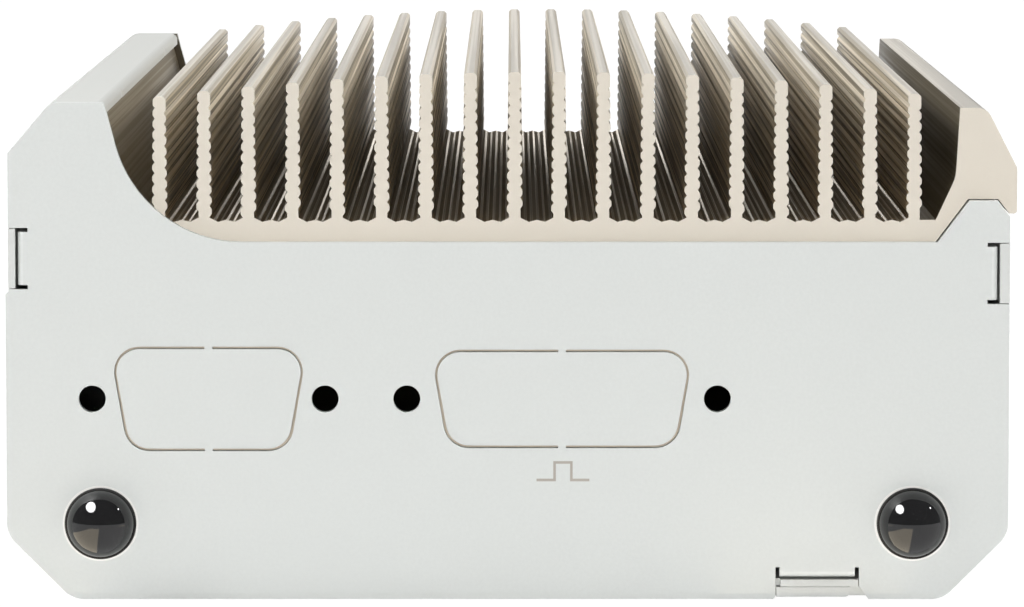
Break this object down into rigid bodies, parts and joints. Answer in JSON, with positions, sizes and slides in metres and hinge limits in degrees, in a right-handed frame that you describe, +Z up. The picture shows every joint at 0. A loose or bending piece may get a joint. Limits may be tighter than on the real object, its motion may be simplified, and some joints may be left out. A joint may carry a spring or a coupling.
{
  "type": "fanless industrial pc",
  "caption": "Compact fanless box computer: ribbed heat sink roof, folded sheet walls, flat end panels with D-shaped knock-outs and domed plugs, sockets along one side.",
  "frame": {"origin": "middle of the underside, on the level the case stands on", "axes": "+Z up through the fins, +Y along the fins to the rear panel, so the front panel faces -Y; the sockets face -X"},
  "size_m": [0.1084, 0.1565, 0.0567],
  "materials": {
    "heat_sink_paint": "extruded aluminium under a smooth pale beige coating",
    "panel_paint": "fine matt light grey powder coat",
    "shell_paint": "fine matt light grey powder coat",
    "cover_paint": "fine matt light grey powder coat",
    "plug_plastic": "polished black plastic",
    "circuit_board": "green solder mask",
    "module_board": "green solder mask with dark chips",
    "chip_silicon": "polished silicon",
    "thermal_pad": "soft grey pad",
    "bare_aluminium": "machined",
    "zinc_plate": "bright zinc plate",
    "socket_shield": "tinned steel shield",
    "screw_steel": "dull nickel plate",
    "cell_steel": "satin stainless steel",
    "black_plastic": "moulded black plastic",
    "button_plastic": "moulded dark plastic",
    "lamp_lens": "frosted clear lens",
    "coil_ferrite": "moulded ferrite",
    "capacitor_case": "moulded resin"
  },
  "bodies": {
    "case": {"heat_sink": "heat_sink_paint", "front_end_panel": "panel_paint", "rear_end_panel": "panel_paint", "left_antenna_plug": "plug_plastic", "right_antenna_plug": "plug_plastic", "socket_shell": "shell_paint", "outer_cover": "cover_paint", "main_board": "circuit_board", "processor": "chip_silicon", "thermal_pad": "thermal_pad", "heat_block": "bare_aluminium", "board_standoffs": "zinc_plate", "board_nuts": "zinc_plate", "usb_socket_1": "socket_shield", "usb_socket_2": "socket_shield", "ethernet_socket_1": "socket_shield", "ethernet_socket_2": "socket_shield", "ethernet_socket_3": "socket_shield", "display_socket": "socket_shield", "power_socket": "black_plastic", "power_switch": "black_plastic", "lamp_holder": "black_plastic", "upper_status_lamp": "lamp_lens", "lower_status_lamp": "lamp_lens", "cover_screws": "screw_steel", "cover_nuts": "zinc_plate", "bracket_nuts": "zinc_plate", "memory_socket": "black_plastic", "memory_module": "module_board", "storage_socket": "black_plastic", "storage_module": "module_board", "battery_holder": "black_plastic", "clock_battery": "cell_steel", "power_coils": "coil_ferrite", "capacitors": "capacitor_case"},
    "button": {"power_button": "button_plastic", "switch_plunger": "black_plastic"}
  },
  "joints": [
    {"name": "power_button_press", "type": "slide", "parent": "case", "child": "button", "axis": [1, 0, 0], "range_m": [0, 0.0005], "stiffness_N_per_m": 1500, "springref_m": -0.0002}
  ]
}
